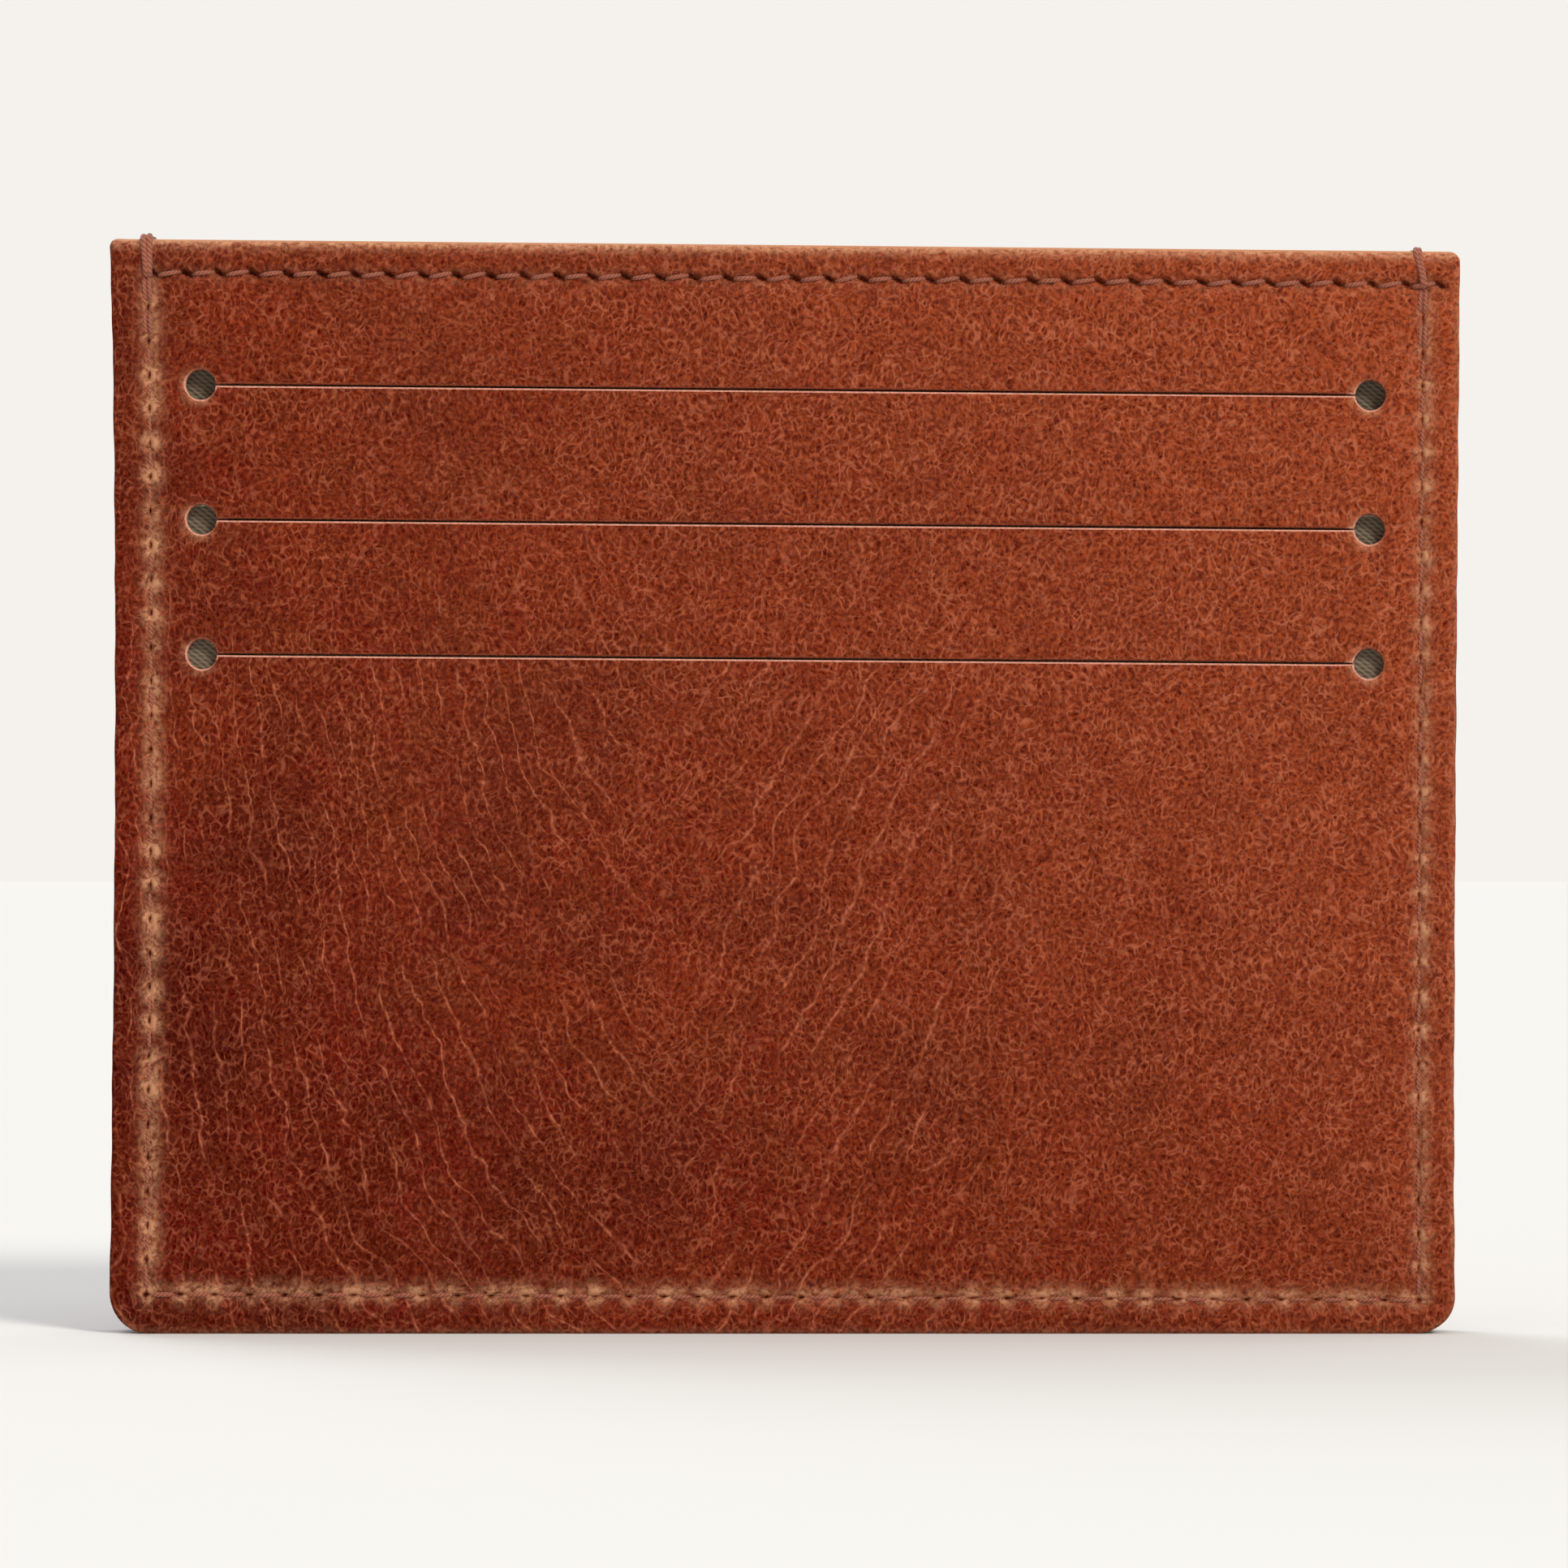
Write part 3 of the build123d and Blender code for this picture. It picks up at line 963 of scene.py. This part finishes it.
def crackle(where, cell, width, lean=0, longer=1, offset=(0, 0, 0)):
    """A net of lines of the given width in mm, round cells that lean by so many degrees."""
    turn = (0, math.radians(-lean), 0)
    mapping = {"Location": offset, "Rotation": turn, "Scale": (1, 1, 1 / longer)}
    mapped = add("Mapping", mapping, {"Vector": where}).outputs[0]
    settings = {"feature": "DISTANCE_TO_EDGE", "Scale": 1 / cell}
    edge = add("TexVoronoi", settings, {"Vector": mapped}).outputs["Distance"]
    return levels(edge, 0.0, 0.7 * width / cell, 1.0, 0.0)


def patches(size, low, high, offset, to_low=0.0):
    """Soft patches of about size millimetres, 1 in them and to_low between them."""
    return levels(noise(mm, size, detail=1.5, offset=offset), low, high, to_low)


crinkled = wander(wander(mm, 3.0, 0.7), 0.6, 0.13, offset=(4, 9, 2))
parts = add("SeparateXYZ", {}, {0: wander(mm, 9.0, 6.0, offset=(2, 7, 1))})
to_the_right = levels(parts.outputs["X"], -32.0, -18.0)
# the net leans to the left in the left quarter of the holder, and to the right elsewhere
net_left = crackle(crinkled, 0.54, 0.15, -20, 1.5)
net_right = crackle(crinkled, 0.54, 0.15, 22, 1.5)
mixed = add("Mix", {"data_type": "FLOAT"}, {0: to_the_right, 2: net_left, 3: net_right})
main_net = mixed.outputs[0]
gaps = patches(2.2, 0.3, 0.6, (7, 0, 0), 0.5), patches(0.5, 0.36, 0.58, (2, 8, 0), 0.2)
main_net = times(main_net, times(*gaps))
fine_net = crackle(crinkled, 0.32, 0.11, 10, 1.3, (3, 1, 8))
pebble = noise(crinkled, 0.30, detail=2, rough=0.55)
print("leather nets:", len(tree.nodes), "nodes")

# %% [markdown]
# Growth lines are creases where the hide was stretched: wavy lines 2 to 3 mm apart that follow
# the edges of the pebbles. On the left they run down to the right and flatten towards the
# bottom, in the middle they lean the other way, and both families fade out.

# %% Growth lines in the hide
place = add("SeparateXYZ", {}, {0: wander(crinkled, 2.0, 0.4, offset=(6, 3, 3))})
x_mm, z_mm = place.outputs["X"], place.outputs["Z"]


CREASE = 0.34  # width of a growth line in mm


def growth_lines(across, spacing, offset):
    """Wavy creases where across is a whole number of spacings, with the spacing made uneven."""
    drift = noise(mm, 7.0, detail=1, offset=offset)
    uneven = maths("ADD", across, times(drift, 5.0))
    apart = maths("PINGPONG", uneven, spacing / 2)
    return levels(apart, 0.0, 0.8 * CREASE, 1.0, 0.0)


bend = maths("SUBTRACT", 0.95, times(z_mm, 0.00375))
bend = times(bend, levels(x_mm, -50.0, -18.0, 0.1, 1.0))
across = maths("ADD", x_mm, times(z_mm, bend))
down_right = growth_lines(across, 3.1, (1, 0, 5))
across = maths("SUBTRACT", x_mm, times(z_mm, 0.48))
down_left = growth_lines(across, 2.6, (4, 0, 2))
far_x, far_z = parts.outputs["X"], parts.outputs["Z"]
low_down = levels(far_z, 66.0, 50.0)
on_left = times(levels(far_x, -2.0, -14.0), low_down)
in_middle = times(levels(far_x, -14.0, -4.0), levels(far_x, 26.0, 12.0))
in_middle = times(maths("MAXIMUM", in_middle, 0.2), low_down)
down_right = times(down_right, on_left)
growth = maths("MAXIMUM", down_right, times(down_left, in_middle))
growth = times(growth, patches(6.0, 0.34, 0.52, (5, 2, 70), 0.1))
growth = times(growth, patches(0.7, 0.3, 0.5, (1, 1, 9), 0.5))

# %% Colour, gloss and relief of the leather
olive = patches(4.5, 0.42, 0.64, (11, 0, 4)), patches(0.9, 0.5, 0.66, (3, 5, 5))
base = blend(maths("MAXIMUM", *olive), "#7C1D06", "#722C09")
dark_clouds = times(patches(13.0, 0.46, 0.62, (1, 5, 14)), 0.65)
base = blend(dark_clouds, base, "#560B00")
light_clouds = times(patches(11.0, 0.48, 0.68, (31, 5, 4)), 0.4)
base = blend(light_clouds, base, "#98421F")
# painted light: the leather is painted paler towards the upper right, where the key lamp stands,
# and its creases paler there too
towards_light = maths("ADD", far_x, times(far_z, 0.8))
painted_light_gradient = levels(towards_light, -25.0, 110.0, 0.0, 1.0)
base = blend(painted_light_gradient, base, "#B86843")
base = blend(levels(pebble, 0.30, 0.64, 0.80, 0.0), base, "#560400")
base = blend(levels(pebble, 0.52, 0.74, 0.0, 0.35), base, "#B46A4C")
# the pale net is partly the creases' own paler tone and partly painted sheen on them
net = times(main_net, 0.8)
net = maths("MAXIMUM", net, times(fine_net, 0.22))
creases_and_sheen = times(net, levels(painted_light_gradient, 0.1, 0.7, 0.56, 0.78))
chains = times(growth, levels(main_net, 0.0, 0.5, 0.35, 0.80))
creases_and_sheen = maths("MAXIMUM", creases_and_sheen, chains)
base = blend(creases_and_sheen, base, "#D8967A")
base = add("Gamma", {"Gamma": 1.42}, {"Color": base}).outputs[0]  # the wax deepens the dye
wear_and_painted_light_here = add("Attribute", {"attribute_name": "wear_and_painted_light"}).outputs["Fac"]
grit = levels(noise(crinkled, 0.4, detail=3, rough=0.65), 0.38, 0.62)
pale_wear_and_highlight = times(wear_and_painted_light_here, levels(grit, 0.0, 1.0, 0.15, 1.0))
pale_wear_and_highlight = maths("MAXIMUM", pale_wear_and_highlight, levels(wear_and_painted_light_here, 0.9, 1.2, 0.0, 0.9))
pale_wear_and_highlight = maths("MAXIMUM", maths("MINIMUM", pale_wear_and_highlight, 0.92), 0)
# pale tan of wear, and painted highlight where the number carries it: the mouth's edge and the
# lower left of the punched holes
base = blend(pale_wear_and_highlight, base, "#CC926E")
# painted shade: below 0, inside the needle holes, the grain is painted near black
base = blend(levels(wear_and_painted_light_here, -1.0, 0.0, 0.9, 0.0), base, "#1C0603")
gloss = levels(maths("ADD", creases_and_sheen, pebble), 0.3, 1.2, 0.42, 0.60)
tree.links.new(gloss, shader.inputs["Roughness"])
dress(base, pebble, 0.4, 0.08)
print("leather material:", len(tree.nodes), "nodes")

# %% [markdown]
# ### Cut edges
#
# A knife cut shows the fibres under the grain. Round the outside they are dyed and rubbed with
# wax, almost as dark as the grain; in the slits and punched holes they are pinkish and matt, but
# that pink is laid only where the lamp catches them, as painted highlight, and the upper lips of
# the slits are painted near black as painted shade.

# %% Cut and rubbed edges of the leather
cut_edge, tree, shader = new_material("rubbed_cut_edge_of_leather", roughness=0.62, specular=0.2)
fibres = noise(millimetres(), 0.16, detail=3, rough=0.6, stretch=(1, 0.35, 1))
dyed = blend(levels(fibres, 0.35, 0.65), "#5E2412", "#964B2C")
fresh = blend(levels(fibres, 0.3, 0.65), "#B46C56", "#DDA28C")
painted_light_on_cuts_here = add("Attribute", {"attribute_name": "painted_light_on_cuts"}).outputs["Fac"]
# painted highlight: the pale fresh cut colour goes only where the number is above 0, on the lower
# lips and lower-left rims
edge = blend(painted_light_on_cuts_here, dyed, fresh)
# painted shade: the upper lips of the slits, below 0, are painted near black
edge = blend(levels(painted_light_on_cuts_here, -1.0, 0.0, 0.85, 0.0), edge, "#220A05")
dress(edge, fibres, 0.5, 0.05)

# %% [markdown]
# ### Cotton twill, cotton tape and bonded leather
#
# The linings are a fine cotton twill, whose diagonal ribs are what the eye catches at the bottom
# of a punched hole. The tape is plain woven and pale. The fillers are bonded leather, ground
# fibres pressed to a sheet, so they are speckled and even.

# %% Cotton twill
twill, tree, shader = new_material("olive_grey_cotton_twill", 0.85, specular=0.3, sheen=0.25)
mm = millimetres()
RIB = 0.36  # mm from one rib to the next


def bands(where, apart, direction="X", **more):
    """Soft bands that are so many millimetres apart."""
    settings = {"bands_direction": direction, "Scale": 1 / (3.183 * apart), **more}
    return add("TexWave", settings, {"Vector": where}).outputs["Fac"]


turned = add("Mapping", {"Rotation": (0, math.radians(52), 0)}, {"Vector": mm}).outputs[0]
ribs = bands(turned, RIB, **{"Distortion": 0.6, "Detail Scale": 3.0})
yarns = bands(mm, 0.3, "Z", Distortion=0.5)
weave = maths("ADD", ribs, times(yarns, 0.5))
slub = noise(mm, 1.4, detail=3)
cotton = blend(levels(weave, 0.2, 1.2), "#50493B", "#8B806B")
cotton = blend(times(slub, 0.5), cotton, "#6E6454")
dress(cotton, weave, 0.7, 0.08)

# %% Cotton tape
tape, tree, shader = new_material("unbleached_cotton_tape", roughness=0.9, specular=0.3)
mm = millimetres()
weft, warp = bands(mm, 0.5, Distortion=0.4), bands(mm, 0.5, "Z", Distortion=0.4)
weave = times(weft, warp)
dress(blend(weave, "#8E8470", "#CFC6B2"), weave, 0.6, 0.08)

# %% Bonded leather
bonded, tree, shader = new_material("dyed_bonded_leather", roughness=0.66)
specks = noise(millimetres(), 0.3, detail=4, rough=0.65)
dress(blend(levels(specks, 0.35, 0.65), "#4A1E10", "#7C4229"), specks, 0.5, 0.05)

# %% [markdown]
# ### Twisted polyester thread
#
# Three plies are twisted together, one turn about every 1.1 mm, and waxed. The grooves between
# them are painted darker, as painted shade, and their backs paler, as painted sheen, which
# draws short slanted dashes on each stitch.
# The UV map carries them round the thread.

# %% Twisted thread
twisted, tree, shader = new_material("three_ply_polyester_thread", 0.5, specular=0.25, sheen=0.2)
uv = add("UVMap", {"uv_map": "thread_uv"}).outputs[0]
parts = add("SeparateXYZ", {}, {0: uv})
TURN = 1.1  # mm of thread to one turn of the twist
turns = maths("ADD", parts.outputs["Y"], maths("DIVIDE", parts.outputs["X"], TURN))
PLIES = 3
plies = maths("SINE", times(turns, PLIES * 2 * math.pi))
plies = levels(plies, -1.0, 0.4)
hairs = noise(uv, 0.12, detail=3, stretch=(1, 6, 1))
# painted shade in the grooves between the plies and painted sheen on their backs
ply_shaded_thread = blend(plies, "#642718", "#A25640")
ply_shaded_thread = blend(times(hairs, 0.45), ply_shaded_thread, "#C07B5C")
dress(ply_shaded_thread, plies, 0.7, 0.06)

# %% [markdown]
# ## Put each finish on its pieces
#
# Every piece rides on the one body and replaces its CAD node.

# %% Finishes and bookkeeping
finish_of = {"lining": twill, "tape": tape, "filler": bonded, "thread": twisted}
for node, piece in pieces.items():
    slot = kind = node.split("_")[-1]
    if kind == "panel":  # its faces already know which of the two they take
        piece.data.materials[0], piece.data.materials[1] = leather, cut_edge
        slot = "leather"
    else:
        piece.data.materials.clear()
        piece.data.materials.append(finish_of[kind])
    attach(piece, "root")
    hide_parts(node)

# %% [markdown]
# ## Floor, light and camera
#
# The holder stands on a plain pale floor. A large distant lamp at the upper right makes the
# relief show: it darkens the slits and the upper right of each hole, and lights the lower lips.
# A soft one from above lights the mouth's edge, and a weak one from behind on the left keeps the
# floor as pale as the wall. The surroundings look pale but give little light, so that the wax
# doesn't go milky.

# %% Floor and surroundings
deselect()
bpy.ops.mesh.primitive_plane_add(size=6.0, location=(0, 0, cad_box[0][2]))
floor = bpy.context.object
floor.name = "pale_floor"
paper, tree, shader = new_material("matt_pale_paper", roughness=1.0, specular=0.0)
shader.inputs["Base Color"].default_value = linear("#E4E4E2")
floor.data.materials.append(paper)

world = bpy.data.worlds.new("pale_room")
bpy.context.scene.world = world
world.use_nodes = True
tree = world.node_tree
tree.nodes.clear()
seen = add("Background", {"Color": linear("#F5F2ED"), "Strength": 1.0}).outputs[0]
lit = add("Background", {"Color": linear("#F5F2ED"), "Strength": 0.35}).outputs[0]
straight = add("LightPath").outputs["Is Camera Ray"]
add("OutputWorld", {}, {0: add("MixShader", {}, {0: straight, 1: lit, 2: seen}).outputs[0]})

# %% Lamps
def sun(name, towards, strength, spread, colour):
    """A large distant lamp; towards points from the holder to the lamp."""
    bpy.ops.object.light_add(type="SUN", location=(0, 0, 1))
    light = bpy.context.object
    light.name = name
    light.data.energy, light.data.angle = strength * math.pi, math.radians(spread)
    light.data.color = linear(colour)[:3]
    light.rotation_euler = Vector(towards).to_track_quat("Z", "Y").to_euler()


sun("key_upper_right", (0.45, -0.75, 0.60), 0.64, 14, "#FFFAF2")
sun("top_soft", (0.1, 0.0, 1.0), 0.34, 60, "#FFFFFF")
sun("back_upper_left", (-0.45, 0.65, 0.60), 0.35, 40, "#F6F8FF")

# %% Camera
FOCAL, SENSOR = 200.0, 36.0
VIEW_WIDTH = 116.6 * MM  # how much the camera takes in at the front face
away = VIEW_WIDTH * FOCAL / SENSOR + OUTER_AT * MM
bpy.ops.object.camera_add(location=(0, -away, 40.9 * MM), rotation=(math.pi / 2, 0, 0))
camera = bpy.context.object
camera.data.lens, camera.data.sensor_width = FOCAL, SENSOR
camera.data.clip_start, camera.data.clip_end = 0.01, 20.0
bpy.context.scene.camera = camera
bpy.context.scene.view_settings.view_transform = "Standard"
